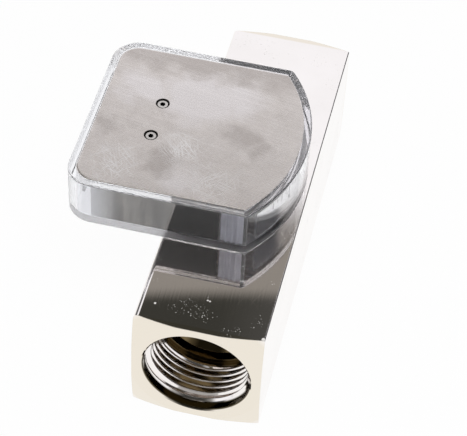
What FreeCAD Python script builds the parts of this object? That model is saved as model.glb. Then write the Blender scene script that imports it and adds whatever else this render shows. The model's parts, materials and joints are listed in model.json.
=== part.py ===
import FreeCAD, Part
import math
import os

import Sketcher
from FreeCAD import Rotation, Vector

# A variable area flow meter for a pipe line, in millimetres and degrees.
# The flow runs along -Y, the base face of the bar lies on z = 0 and +Z is up.
# A sprung piston slides on a rod in a tapered sleeve, and its magnet turns a pointer in the clear case.
sizes = {
    # Square bar with a female pipe thread in each end
    "bar_side": 40.0,
    "bar_length": 134.0,
    "edge_round": 1.7,
    "edge_break": 0.3,
    "turned_radius": 21.0,
    "turned_angle": 15.0,
    "thread_radius": 16.62,
    "thread_height": 1.47,
    "thread_depth": 19.0,
    "mouth_chamfer": 0.6,
    "drilled_length": 3.0,
    "bore_step": 0.65,
    "seat_step": 1.5,
    "throat_length": 8.0,
    "inlet_land": 5.8,
    # Stack inside the bore, from the shoulder to the inlet
    "stack_clearance": 0.05,
    "spider_width": 5.0,
    "spider_rim": 1.9,
    "spoke_angle": 26.0,
    "hub_margin": 0.5,
    "hub_height": 3.0,
    "hub_floor": 3.0,
    "dome_height": 3.0,
    "dome_shoulder_radius": 5.1,
    "dome_tip_radius": 2.2,
    "sleeve_wall": 1.65,
    "sleeve_taper": 1.4,
    "sleeve_straight": 16.0,
    "seal_offset": 3.0,
    "seal_groove_width": 2.4,
    "seal_groove_depth": 1.75,
    "ring_thickness": 1.2,
    "ring_groove_depth": 0.9,
    "ring_width": 2.4,
    "ring_opening": 30.0,
    "rod_radius": 2.5,
    "rod_chamfer": 0.4,
    # Piston with its magnet, nut and bushes
    "running_clearance": 0.05,
    "stop_gap": 0.3,
    "disc_gap": 0.4,
    "disc_width": 3.0,
    "disc_chamfer": 0.5,
    "nose_length": 7.7,
    "nose_base_radius": 8.5,
    "collar_radius": 7.0,
    "collar_width": 2.0,
    "stem_radius": 5.0,
    "stem_thread_radius": 4.6,
    "stem_tail": 2.0,
    "magnet_radius": 8.5,
    "magnet_length": 10.0,
    "nut_width": 3.0,
    "nut_flats": 14.0,
    "bush_wall": 0.85,
    "bush_length": 5.0,
    # Return spring between the nut and the outlet hub
    "spring_clearance": 0.5,
    "spring_wire": 0.8,
    "spring_turns": 7.5,
    # Clear case on top of the bar, round the pointer's pivot
    "pivot_offset": 34.0,
    "case_left": 17.4,
    "case_half_width": 33.4,
    "case_arc": 52.4,
    "case_height": 16.4,
    "case_wall": 2.5,
    "case_floor": 2.0,
    "case_corner": 9.0,
    "case_blunt_corner": 2.5,
    "case_edge": 0.5,
    "case_foot_edge": 0.4,
    "seat_pad_height": 0.1,
    "seat_pad_margin": 1.75,
    "boss_wall": 1.05,
    "boss_height": 8.0,
    "pivot_boss_wall": 1.1,
    "pivot_boss_height": 2.0,
    # Screws that hold the case to the bar
    "case_screw_radius": 1.5,
    "case_screw_length": 7.0,
    "case_screw_head": 2.75,
    "case_screw_head_height": 1.7,
    "case_screw_socket": 1.25,
    "case_screw_socket_depth": 1.0,
    "case_screw_spare": 0.6,
    "screw_clearance": 0.1,
    "side_screw_edge": 7.0,
    "side_screw_inset": 9.4,
    "arc_screw_angle": 21.5,
    # Cover plate with folded flanges
    "plate_clearance": 0.1,
    "plate_thickness": 1.2,
    "flange_thickness": 1.0,
    "flange_gap": 7.5,
    "left_flange_gap": 2.4,
    "fold_radius": 0.6,
    "cover_screw_x": 3.9,
    "cover_screw_y": 7.3,
    "cover_screw_radius": 1.0,
    "cover_screw_head": 1.8,
    "cover_screw_sink": 0.34,
    "cover_screw_spare": 0.2,
    "cover_screw_socket": 0.92,
    "cover_screw_socket_depth": 0.75,
    "countersink_clearance": 0.06,
    "plate_hole_clearance": 0.25,
    # Ribbed posts under the free corners of the plate
    "post_gap": 0.6,
    "post_depth": 2.5,
    "post_wall_gap": 0.2,
    "post_rib": 0.5,
    # Bridge, spacers, inserts and jewels
    "bridge_thickness": 1.2,
    "bridge_margin": 0.25,
    "bridge_lobe": 2.6,
    "spacer_radius": 2.4,
    "insert_radius": 1.7,
    "insert_length": 4.0,
    "jewel_radius": 1.4,
    "jewel_depth": 1.4,
    "jewel_cup": 1.1,
    # Pointer
    "rest_angle": 25.3,
    "arbor_radius": 0.8,
    "pivot_radius": 0.4,
    "arbor_end_play": 0.2,
    "arbor_collar": 1.8,
    "arbor_collar_height": 1.0,
    "arm_thickness": 0.8,
    "arm_width": 2.4,
    "arm_hub": 3.0,
    "tail_spare": 0.6,
    "rise_gap": 6.8,
    "tip_gap": 0.4,
    "tip_taper": 0.9,
    "tip_clearance": 0.6,
    "tip_headroom": 0.8,
    "follower_gap": 1.2,
    "follower_radius": 2.5,
    "follower_height": 3.0,
    "weight_reach": 8.0,
    "weight_radius": 2.4,
    "weight_height": 3.5,
    # Curved scale band behind the arc of the case
    "band_wall_gap": 0.3,
    "band_thickness": 0.8,
    "band_foot": 7.4,
    "band_end_gap": 0.9,
}

doc = FreeCAD.newDocument("flow_meter")
sheet = doc.addObject("Spreadsheet::Sheet", "Sizes")


class Size:
    # A number together with the sheet formula that it comes from.

    def __init__(self, number, formula):
        self.number = number
        self.formula = formula

    def __add__(self, other):
        other = as_size(other)
        return Size(self.number + other.number, f"({self.formula} + {other.formula})")

    def __sub__(self, other):
        other = as_size(other)
        return Size(self.number - other.number, f"({self.formula} - {other.formula})")

    def __mul__(self, factor):
        factor = as_size(factor)
        return Size(self.number * factor.number, f"({self.formula} * {factor.formula})")

    def __truediv__(self, divisor):
        divisor = as_size(divisor)
        return Size(self.number / divisor.number, f"({self.formula} / {divisor.formula})")

    def __neg__(self):
        return Size(-self.number, f"(-1 * {self.formula})")


def as_size(value):
    return value if isinstance(value, Size) else Size(float(value), f"{value:g}")


def tangent(angle):
    return Size(math.tan(math.radians(angle.number)), f"tan({angle.formula} * 1 deg)")


def cosine(angle):
    return Size(math.cos(math.radians(angle.number)), f"cos({angle.formula} * 1 deg)")


def sine(angle):
    return Size(math.sin(math.radians(angle.number)), f"sin({angle.formula} * 1 deg)")


def arcsine(share):
    return Size(math.degrees(math.asin(share.number)), f"(asin({share.formula}) / 1 deg)")


def root(square):
    return Size(math.sqrt(square.number), f"sqrt({square.formula})")


class Dimensions:
    # Every driving dimension by its name.
    pass


dim = Dimensions()
for row, (name, value) in enumerate(sizes.items(), 1):
    sheet.set(f"A{row}", name)
    sheet.set(f"B{row}", str(value))
    sheet.setAlias(f"B{row}", name)
    setattr(dim, name, Size(value, f"{sheet.Name}.{name}"))
doc.recompute()

# Places that several pieces share, along the flow
flow_height = dim.bar_side / 2
half_length = dim.bar_length / 2
thread_end = half_length - dim.thread_depth
shoulder = dim.throat_length - thread_end
outlet_rim = shoulder + dim.spider_width
stack_end = thread_end - dim.inlet_land - dim.ring_thickness
sleeve_end = stack_end - dim.spider_width
drilled_radius = dim.thread_radius - dim.thread_height
bore_radius = drilled_radius - dim.bore_step
throat_radius = bore_radius - dim.seat_step
stack_radius = bore_radius - dim.stack_clearance
sleeve_outlet_radius = stack_radius - dim.sleeve_wall
sleeve_inlet_radius = sleeve_outlet_radius - dim.sleeve_taper
outlet_hub_face = outlet_rim + dim.hub_height
inlet_hub_face = sleeve_end - dim.hub_height
nose_end = inlet_hub_face - dim.stop_gap
disc_front = nose_end - dim.nose_length
disc_back = disc_front - dim.disc_width
magnet_front = disc_back - dim.collar_width
magnet_back = magnet_front - dim.magnet_length
nut_back = magnet_back - dim.nut_width
piston_end = nut_back - dim.stem_tail
bush_radius = dim.rod_radius + dim.running_clearance + dim.bush_wall
spring_radius = dim.stem_thread_radius + dim.spring_clearance + dim.spring_wire / 2
hub_radius = spring_radius + dim.spring_wire / 2 + dim.hub_margin

# Places that several pieces share, about the pivot and up from the foot of the case
plate_inset = dim.case_wall + dim.plate_clearance
plate_left = plate_inset - dim.case_left
plate_half_width = dim.case_half_width - plate_inset
plate_arc = dim.case_arc - plate_inset
plate_corner = dim.case_corner - plate_inset
plate_bottom = dim.case_height - dim.plate_thickness
flange_end = root(plate_arc * plate_arc - plate_half_width * plate_half_width) - dim.flange_gap
boss_top = dim.case_floor + dim.boss_height
boss_radius = dim.insert_radius + dim.boss_wall
bridge_top = boss_top + dim.bridge_thickness
pivot_boss_top = dim.case_floor + dim.pivot_boss_height
arm_bottom = dim.case_floor + dim.follower_gap + dim.follower_height
arm_top = arm_bottom + dim.arm_thickness
follower_reach = dim.pivot_offset
tip_radius = dim.case_arc - dim.case_wall - dim.tip_gap
band_radius = dim.case_arc - dim.case_wall - dim.band_wall_gap
band_inner = band_radius - dim.band_thickness
post_outer = dim.case_half_width - dim.case_wall - dim.post_wall_gap
post_inner = post_outer - dim.post_depth
band_spread = arcsine((post_inner - dim.band_end_gap) / band_radius) * 2
tip_top = plate_bottom - dim.tip_headroom
band_top = tip_top - dim.arm_thickness - dim.tip_clearance


def bind(item, path, size):
    item.setExpression(path, as_size(size).formula)


def place(item, x, y, z, turn=None):
    if turn is not None:
        item.Placement.Rotation = Rotation(Vector(0, 0, 1), turn.number)
        item.setExpression("Placement.Rotation.Angle", f"{turn.formula} * 1 deg")
    for path, size in (("x", x), ("y", y), ("z", z)):
        bind(item, "Placement.Base." + path, size)


def new_body(label, x=0, y=0, z=0, turn=None):
    body = doc.addObject("PartDesign::Body", label)
    body.Label = label
    place(body, x, y, z, turn)
    return body


def flow_body(label):
    # A body whose own Y axis is the flow's axis.
    return new_body(label, z=flow_height)


def case_body(label, turn=None):
    # A body whose own origin is the pivot, at the foot of the case.
    return new_body(label, x=-dim.pivot_offset, z=dim.bar_side, turn=turn)


def new_sketch(body, name, role, lift=0):
    sketch = body.newObject("Sketcher::SketchObject", name)
    planes = [plane for plane in body.Origin.OriginFeatures if plane.Role == role]
    sketch.AttachmentSupport = (planes[0], [""])
    sketch.MapMode = "FlatFace"
    bind(sketch, "AttachmentOffset.Base.z", lift)
    return sketch


def vector(x, y):
    return Vector(as_size(x).number, as_size(y).number, 0)


def set_distance(sketch, kind, edge, end, size):
    size = as_size(size)
    index = sketch.addConstraint(Sketcher.Constraint(kind, -1, 1, edge, end, size.number))
    sketch.setExpression(f"Constraints[{index}]", size.formula)


def set_radius(sketch, edge, size):
    size = as_size(size)
    index = sketch.addConstraint(Sketcher.Constraint("Radius", edge, size.number))
    sketch.setExpression(f"Constraints[{index}]", size.formula)


def set_point(sketch, edge, end, x, y):
    set_distance(sketch, "DistanceX", edge, end, x)
    set_distance(sketch, "DistanceY", edge, end, y)


def join_ends(sketch, edge, next_edge):
    sketch.addConstraint(Sketcher.Constraint("Coincident", edge, 2, next_edge, 1))


def polygon(sketch, points):
    first = sketch.GeometryCount
    count = len(points)
    for index in range(count):
        start = vector(*points[index])
        end = vector(*points[(index + 1) % count])
        sketch.addGeometry(Part.LineSegment(start, end), False)
    for index in range(count):
        join_ends(sketch, first + index, first + (index + 1) % count)
    for index in range(count):
        set_point(sketch, first + index, 1, *points[index])


def rectangle(sketch, x_low, y_low, x_high, y_high):
    polygon(sketch, [(x_low, y_low), (x_high, y_low), (x_high, y_high), (x_low, y_high)])


def circle(sketch, x, y, radius):
    edge = sketch.addGeometry(Part.Circle(vector(x, y), Vector(0, 0, 1), as_size(radius).number), False)
    set_point(sketch, edge, 3, x, y)
    set_radius(sketch, edge, radius)


def slot(sketch, start, end, radius):
    # A rounded strip from one point to another, along X or Y of the sketch.
    start_point = vector(*start)
    end_point = vector(*end)
    heading = math.atan2(end_point.y - start_point.y, end_point.x - start_point.x)
    side = Vector(-math.sin(heading), math.cos(heading), 0) * radius.number
    quarter = math.pi / 2
    first = sketch.GeometryCount
    end_arc = Part.Circle(end_point, Vector(0, 0, 1), radius.number)
    start_arc = Part.Circle(start_point, Vector(0, 0, 1), radius.number)
    sketch.addGeometry(Part.LineSegment(start_point - side, end_point - side), False)
    sketch.addGeometry(Part.ArcOfCircle(end_arc, heading - quarter, heading + quarter), False)
    sketch.addGeometry(Part.LineSegment(end_point + side, start_point + side), False)
    sketch.addGeometry(Part.ArcOfCircle(start_arc, heading + quarter, heading + 3 * quarter), False)
    for index in range(4):
        sketch.addConstraint(Sketcher.Constraint(
            "Tangent", first + index, 2, first + (index + 1) % 4, 1))
    set_point(sketch, first + 1, 3, *end)
    set_point(sketch, first + 3, 3, *start)
    set_radius(sketch, first + 1, radius)


def shield(sketch, left, half_width, arc, corner):
    # The case's outline: three straight sides with two round corners, and an arc about the pivot.
    reach = math.sqrt(arc.number ** 2 - half_width.number ** 2)
    spread = math.asin(half_width.number / arc.number)
    side = half_width.number
    inset_x = left + corner
    inset_y = half_width - corner
    upwards = Vector(0, 0, 1)
    back_corner = Part.Circle(vector(inset_x, inset_y), upwards, corner.number)
    front_corner = Part.Circle(vector(inset_x, -inset_y), upwards, corner.number)
    rim = Part.Circle(Vector(), upwards, arc.number)
    quarter = math.pi / 2
    sketch.addGeometry(Part.LineSegment(Vector(reach, side), Vector(inset_x.number, side)), False)
    sketch.addGeometry(Part.ArcOfCircle(back_corner, quarter, 2 * quarter), False)
    sketch.addGeometry(Part.LineSegment(vector(left, inset_y), vector(left, -inset_y)), False)
    sketch.addGeometry(Part.ArcOfCircle(front_corner, 2 * quarter, 3 * quarter), False)
    sketch.addGeometry(Part.LineSegment(Vector(inset_x.number, -side), Vector(reach, -side)), False)
    sketch.addGeometry(Part.ArcOfCircle(rim, -spread, spread), False)
    for index in range(4):
        sketch.addConstraint(Sketcher.Constraint("Tangent", index, 2, index + 1, 1))
    join_ends(sketch, 4, 5)
    join_ends(sketch, 5, 0)
    set_point(sketch, 1, 3, inset_x, inset_y)
    set_point(sketch, 3, 3, inset_x, -inset_y)
    set_radius(sketch, 1, corner)
    set_radius(sketch, 3, corner)
    sketch.addConstraint(Sketcher.Constraint("Coincident", 5, 3, -1, 1))
    set_radius(sketch, 5, arc)
    set_distance(sketch, "DistanceY", 4, 2, -half_width)
    set_distance(sketch, "DistanceY", 0, 1, half_width)


def sector(sketch, inner, outer, spread):
    # A window between two radii, centred on the sketch's X axis.
    half = math.radians(spread.number / 2)
    inner_end = (inner * cosine(spread / 2), inner * sine(spread / 2))
    outer_end = (outer * cosine(spread / 2), outer * sine(spread / 2))
    inner_start = (inner_end[0], -inner_end[1])
    outer_start = (outer_end[0], -outer_end[1])
    rim = Part.Circle(Vector(), Vector(0, 0, 1), outer.number)
    core = Part.Circle(Vector(), Vector(0, 0, 1), inner.number)
    sketch.addGeometry(Part.LineSegment(vector(*inner_start), vector(*outer_start)), False)
    sketch.addGeometry(Part.ArcOfCircle(rim, -half, half), False)
    sketch.addGeometry(Part.LineSegment(vector(*outer_end), vector(*inner_end)), False)
    sketch.addGeometry(Part.ArcOfCircle(core, -half, half), False)
    for edge, end, point in ((0, 1, inner_start), (0, 2, outer_start), (2, 1, outer_end), (2, 2, inner_end)):
        set_point(sketch, edge, end, *point)
    for edge, end, arc_edge, arc_end in ((0, 2, 1, 1), (2, 1, 1, 2), (2, 2, 3, 2), (0, 1, 3, 1)):
        sketch.addConstraint(Sketcher.Constraint("Coincident", edge, end, arc_edge, arc_end))
    set_radius(sketch, 1, outer)
    set_radius(sketch, 3, inner)


def add_feature(body, kind, sketch):
    feature = body.newObject("PartDesign::" + kind, f"{sketch.Name}_{kind}")
    feature.Profile = sketch
    return feature


def pad(body, sketch, length, symmetric=False):
    feature = add_feature(body, "Pad", sketch)
    feature.Midplane = symmetric
    bind(feature, "Length", length)
    doc.recompute()
    return feature


def revolve(body, sketch, axis="H_Axis", angle=None):
    feature = add_feature(body, "Revolution", sketch)
    feature.ReferenceAxis = (sketch, [axis])
    feature.Angle = 360
    if angle is not None:
        feature.Midplane = True
        bind(feature, "Angle", angle)
    doc.recompute()
    return feature


def cut(body, kind, sketch, depth=None, axis=None, through=False):
    # A pocket down from its sketch or a groove about an axis, which has to take material away.
    before = body.Shape.Volume
    feature = add_feature(body, kind, sketch)
    if axis is not None:
        feature.ReferenceAxis = (sketch, [axis])
        feature.Angle = 360
    elif through:
        feature.Type = "ThroughAll"
        feature.Midplane = True
    else:
        bind(feature, "Length", depth)
    doc.recompute()
    if body.Shape.Volume > before - 1e-6:
        raise ValueError(f"{feature.Name} takes nothing away")
    return feature


def edges_where(shape, wanted):
    return [f"Edge{index}" for index, edge in enumerate(shape.Edges, 1) if wanted(edge)]


def dress(body, kind, wanted, size):
    # A fillet or a chamfer along the edges that the test picks.
    base = body.Tip
    edges = edges_where(base.Shape, wanted)
    if not edges:
        raise ValueError(f"no edge for the {kind} on {body.Label}")
    feature = body.newObject("PartDesign::" + kind, f"{body.Label}_{kind}")
    feature.Base = (base, edges)
    bind(feature, "Radius" if kind == "Fillet" else "Size", size)
    doc.recompute()
    return feature


def repeat_round(body, feature, sketch, count):
    pattern = body.newObject("PartDesign::PolarPattern", f"{sketch.Name}_pattern")
    pattern.Originals = [feature]
    pattern.Axis = (sketch, ["N_Axis"])
    pattern.Angle = 360
    pattern.Occurrences = count
    body.Tip = pattern
    doc.recompute()


def is_upright(edge):
    run = edge.lastVertex().Point - edge.firstVertex().Point
    return abs(run.z) > 1e-3 and math.hypot(run.x, run.y) < 1e-3


def group(label, members):
    compound = doc.addObject("Part::Compound", label)
    compound.Label = label
    compound.Links = members
    doc.recompute()
    return compound


def make_meter_body():
    body = flow_body("meter_body")
    section = new_sketch(body, "bar_section", "XZ_Plane")
    rectangle(section, -flow_height, -flow_height, flow_height, flow_height)
    pad(body, section, dim.bar_length, symmetric=True)
    half = flow_height.number

    def at_long_corner(edge):
        centre = edge.CenterOfMass
        is_long = edge.BoundBox.YLength > half
        return is_long and abs(abs(centre.x) - half) < 1e-3 and abs(abs(centre.z) - half) < 1e-3

    def under_overhang(edge):
        return at_long_corner(edge) and edge.CenterOfMass.x < 0 < edge.CenterOfMass.z

    # The top edge under the overhang of the case is rounded, and the other three are only broken.
    dress(body, "Fillet", under_overhang, dim.edge_round)
    dress(body, "Chamfer", at_long_corner, dim.edge_break)
    # Both ends are turned to a shallow cone outside the flat face.
    turned = new_sketch(body, "turned_ends", "YZ_Plane")
    corner_share = 0.75  # just over half the diagonal of a square
    corner_radius = dim.bar_side * corner_share
    drop = (corner_radius - dim.turned_radius) * tangent(dim.turned_angle)
    for side in (-1, 1):
        end = half_length * side
        polygon(turned, [(end, dim.turned_radius), (end, corner_radius), (end - drop * side, corner_radius)])
    cut(body, "Groove", turned, axis="H_Axis")
    # The stepped bore opens at each end into a threaded port with a chamfered mouth.
    # Past the thread the outlet keeps its drilled size, and narrows to the throat at 45 degrees.
    bore = new_sketch(body, "bore", "YZ_Plane")
    mouth_radius = dim.thread_radius + dim.mouth_chamfer
    drilled_end = dim.drilled_length - thread_end
    polygon(bore, [
        (-half_length, 0),
        (-half_length, mouth_radius),
        (dim.mouth_chamfer - half_length, dim.thread_radius),
        (-thread_end, dim.thread_radius),
        (-thread_end, drilled_radius),
        (drilled_end, drilled_radius),
        (drilled_end + drilled_radius - throat_radius, throat_radius),
        (shoulder, throat_radius),
        (shoulder, bore_radius),
        (thread_end - dim.bore_step, bore_radius),
        (thread_end, drilled_radius),
        (thread_end, dim.thread_radius),
        (half_length - dim.mouth_chamfer, dim.thread_radius),
        (half_length, mouth_radius),
        (half_length, 0),
    ])
    cut(body, "Groove", bore, axis="H_Axis")
    groove = new_sketch(body, "ring_groove", "YZ_Plane")
    groove_radius = bore_radius + dim.ring_groove_depth
    groove_end = stack_end + dim.ring_thickness + dim.stack_clearance
    rectangle(groove, stack_end, throat_radius, groove_end, groove_radius)
    cut(body, "Groove", groove, axis="H_Axis")
    holes = new_sketch(body, "case_screw_holes", "XY_Plane", lift=flow_height)
    for x, y in case_screw_places():
        circle(holes, x - dim.pivot_offset, y, dim.case_screw_radius + dim.screw_clearance / 2)
    cut(body, "Pocket", holes, depth=dim.case_screw_length - dim.case_floor + dim.case_screw_spare)
    return body


def case_screw_places():
    # Two screws near the straight sides and two through the foot of the scale band.
    side_x = dim.pivot_offset - flow_height + dim.side_screw_edge
    side_y = dim.case_half_width - dim.side_screw_inset
    return [(side_x, -side_y), (side_x, side_y)] + band_screw_places()


def band_screw_places():
    # Midway across the foot of the scale band.
    reach = (band_inner + band_radius - dim.band_foot) / 2
    x = reach * cosine(dim.arc_screw_angle)
    y = reach * sine(dim.arc_screw_angle)
    return [(x, -y), (x, y)]


def cut_spokes(body, rim_inner):
    # Three windows leave three spokes between the hub and the rim.
    window = new_sketch(body, body.Label + "_window", "XZ_Plane")
    spread = Size(120, "120") - dim.spoke_angle
    sector(window, hub_radius, rim_inner, spread)
    opening = cut(body, "Pocket", window, through=True)
    repeat_round(body, opening, window, 3)


def make_outlet_spider():
    body = flow_body("outlet_spider")
    section = new_sketch(body, "outlet_spider_section", "YZ_Plane")
    hole = dim.rod_radius + dim.running_clearance
    polygon(section, [
        (shoulder, 0),
        (shoulder, stack_radius),
        (outlet_rim, stack_radius),
        (outlet_rim, hub_radius),
        (outlet_hub_face, hub_radius),
        (outlet_hub_face, hole),
        (shoulder + dim.hub_floor, hole),
        (shoulder + dim.hub_floor, 0),
    ])
    revolve(body, section)
    cut_spokes(body, stack_radius - dim.spider_rim)
    return body


def make_inlet_spider():
    body = flow_body("inlet_spider")
    section = new_sketch(body, "inlet_spider_section", "YZ_Plane")
    hole = dim.rod_radius + dim.running_clearance
    polygon(section, [
        (inlet_hub_face, hole),
        (inlet_hub_face, hub_radius),
        (sleeve_end, hub_radius),
        (sleeve_end, stack_radius),
        (stack_end, stack_radius),
        (stack_end, hub_radius),
        (stack_end + dim.dome_height / 2, dim.dome_shoulder_radius),
        (stack_end + dim.dome_height, dim.dome_tip_radius),
        (stack_end + dim.dome_height, 0),
        (stack_end - dim.hub_floor, 0),
        (stack_end - dim.hub_floor, hole),
    ])
    revolve(body, section)
    cut_spokes(body, stack_radius - dim.spider_rim)
    return body


def make_metering_sleeve():
    body = flow_body("metering_sleeve")
    section = new_sketch(body, "sleeve_section", "YZ_Plane")
    groove_end = sleeve_end - dim.seal_offset
    groove_start = groove_end - dim.seal_groove_width
    groove_radius = stack_radius - dim.seal_groove_depth
    polygon(section, [
        (outlet_rim, sleeve_outlet_radius),
        (outlet_rim, stack_radius),
        (groove_start, stack_radius),
        (groove_start, groove_radius),
        (groove_end, groove_radius),
        (groove_end, stack_radius),
        (sleeve_end, stack_radius),
        (sleeve_end, sleeve_inlet_radius),
        (sleeve_end - dim.sleeve_straight, sleeve_inlet_radius),
    ])
    revolve(body, section)
    return body


def make_sleeve_seal():
    seal = doc.addObject("Part::Torus", "sleeve_seal")
    seal.Label = "sleeve_seal"
    seal_room = dim.seal_groove_depth + dim.stack_clearance
    section = seal_room / 2 - dim.running_clearance
    bind(seal, "Radius1", bore_radius - seal_room / 2)
    bind(seal, "Radius2", section)
    seal.Placement.Rotation = Rotation(Vector(1, 0, 0), 90)
    centre = sleeve_end - dim.seal_offset - dim.seal_groove_width / 2
    place(seal, 0, centre, flow_height)
    return seal


def make_retaining_ring():
    body = flow_body("retaining_ring")
    section = new_sketch(body, "ring_section", "YZ_Plane")
    outer = bore_radius + dim.ring_groove_depth - dim.stack_clearance
    rectangle(section, stack_end, outer - dim.ring_width, stack_end + dim.ring_thickness, outer)
    revolve(body, section, angle=Size(360, "360") - dim.ring_opening)
    return body


def make_guide_rod():
    body = flow_body("guide_rod")
    section = new_sketch(body, "rod_section", "YZ_Plane")
    start = shoulder + dim.hub_floor
    end = stack_end - dim.hub_floor
    tip_radius = dim.rod_radius - dim.rod_chamfer
    polygon(section, [
        (start, 0),
        (start, tip_radius),
        (start + dim.rod_chamfer, dim.rod_radius),
        (end - dim.rod_chamfer, dim.rod_radius),
        (end, tip_radius),
        (end, 0),
    ])
    revolve(body, section)
    return body


def make_piston():
    body = flow_body("piston")
    section = new_sketch(body, "piston_section", "YZ_Plane")
    disc_radius = sleeve_inlet_radius - dim.disc_gap
    disc_edge = disc_radius - dim.disc_chamfer
    polygon(section, [
        (piston_end, bush_radius),
        (piston_end, dim.stem_thread_radius),
        (magnet_back, dim.stem_thread_radius),
        (magnet_back, dim.stem_radius),
        (magnet_front, dim.stem_radius),
        (magnet_front, dim.collar_radius),
        (disc_back, dim.collar_radius),
        (disc_back, disc_edge),
        (disc_back + dim.disc_chamfer, disc_radius),
        (disc_front - dim.disc_chamfer, disc_radius),
        (disc_front, disc_edge),
        (disc_front, dim.nose_base_radius),
        (nose_end, dim.stem_thread_radius),
        (nose_end, bush_radius),
    ])
    revolve(body, section)
    return body


def make_piston_magnet():
    body = flow_body("piston_magnet")
    section = new_sketch(body, "magnet_section", "YZ_Plane")
    rectangle(section, magnet_back, dim.stem_radius + dim.running_clearance, magnet_front, dim.magnet_radius)
    revolve(body, section)
    return body


def make_magnet_nut():
    body = flow_body("magnet_nut")
    face = new_sketch(body, "nut_face", "XZ_Plane", lift=-magnet_back)
    corner = dim.nut_flats / math.sqrt(3)
    corners = []
    for index in range(6):
        turn = math.radians(60 * index)
        corners.append((corner * round(math.cos(turn), 6), corner * round(math.sin(turn), 6)))
    polygon(face, corners)
    circle(face, 0, 0, dim.stem_thread_radius + dim.running_clearance)
    pad(body, face, dim.nut_width)
    return body


def make_piston_bushes():
    bushes = []
    for name, start in (("nose_bush", nose_end - dim.bush_length), ("tail_bush", piston_end)):
        body = flow_body(name)
        section = new_sketch(body, name + "_section", "YZ_Plane")
        rectangle(section, start, bush_radius - dim.bush_wall, start + dim.bush_length, bush_radius)
        revolve(body, section)
        bushes.append(body)
    return group("piston_bushes", bushes)


def make_return_spring():
    # The coil runs from the outlet hub to the nut, in straight lengths with eight-sided wire.
    steps_per_turn = 12
    wire_sides = 8
    radius = spring_radius.number
    wire = dim.spring_wire.number / 2
    start = outlet_hub_face.number + wire
    end = nut_back.number - wire
    steps = round(steps_per_turn * dim.spring_turns.number)
    path = []
    for step in range(steps + 1):
        turn = 2 * math.pi * step / steps_per_turn
        along = start + (end - start) * step / steps
        path.append(Vector(radius * math.sin(turn), along, radius * math.cos(turn)))
    outline = []
    for side in range(wire_sides + 1):
        turn = 2 * math.pi * side / wire_sides
        outline.append(Vector(0, start + wire * math.sin(turn), radius + wire * math.cos(turn)))
    coil = Part.makePolygon(path).makePipeShell([Part.makePolygon(outline)], True, False, 1)
    spring = doc.addObject("Part::Feature", "return_spring")
    spring.Label = "return_spring"
    spring.Shape = coil
    place(spring, 0, 0, flow_height)
    return spring


def make_indicator_case():
    body = case_body("indicator_case")
    outline = new_sketch(body, "case_outline", "XY_Plane", lift=dim.seat_pad_height)
    shield(outline, -dim.case_left, dim.case_half_width, dim.case_arc, dim.case_corner)
    pad(body, outline, dim.case_height - dim.seat_pad_height)

    def at_arc_end(edge):
        return is_upright(edge) and edge.CenterOfMass.x > dim.case_left.number

    def at_rim(edge):
        return abs(edge.CenterOfMass.z - dim.case_height.number) < 1e-3

    def at_foot(edge):
        return abs(edge.CenterOfMass.z - dim.seat_pad_height.number) < 1e-3

    dress(body, "Fillet", at_arc_end, dim.case_blunt_corner)
    dress(body, "Fillet", at_rim, dim.case_edge)
    dress(body, "Fillet", at_foot, dim.case_foot_edge)
    # The case stands on a low round pad at each of its screws.
    seats = new_sketch(body, "seat_pads", "XY_Plane")
    for x, y in case_screw_places():
        circle(seats, x, y, dim.case_screw_head + dim.seat_pad_margin)
    pad(body, seats, dim.case_floor)
    hollow = new_sketch(body, "case_hollow", "XY_Plane", lift=dim.case_height)
    shield(hollow, dim.case_wall - dim.case_left, dim.case_half_width - dim.case_wall,
           dim.case_arc - dim.case_wall, dim.case_corner - dim.case_wall)
    cut(body, "Pocket", hollow, depth=dim.case_height - dim.case_floor)
    bosses = new_sketch(body, "cover_bosses", "XY_Plane", lift=dim.case_floor)
    for side in (-1, 1):
        circle(bosses, dim.cover_screw_x, dim.cover_screw_y * side, boss_radius)
    pad(body, bosses, dim.boss_height)
    pivot_boss = new_sketch(body, "pivot_boss", "XY_Plane", lift=dim.case_floor)
    circle(pivot_boss, 0, 0, dim.jewel_radius + dim.pivot_boss_wall)
    pad(body, pivot_boss, dim.pivot_boss_height)
    insert_holes = new_sketch(body, "insert_holes", "XY_Plane", lift=boss_top)
    for side in (-1, 1):
        circle(insert_holes, dim.cover_screw_x, dim.cover_screw_y * side, dim.insert_radius)
    cut(body, "Pocket", insert_holes, depth=dim.insert_length)
    jewel_hole = new_sketch(body, "jewel_hole", "XY_Plane", lift=pivot_boss_top)
    circle(jewel_hole, 0, 0, dim.jewel_radius)
    cut(body, "Pocket", jewel_hole, depth=dim.jewel_depth)
    screw_holes = new_sketch(body, "floor_holes", "XY_Plane", lift=dim.case_floor)
    for x, y in case_screw_places():
        circle(screw_holes, x, y, dim.case_screw_radius + dim.screw_clearance)
    cut(body, "Pocket", screw_holes, depth=dim.case_floor)
    return body


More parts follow.
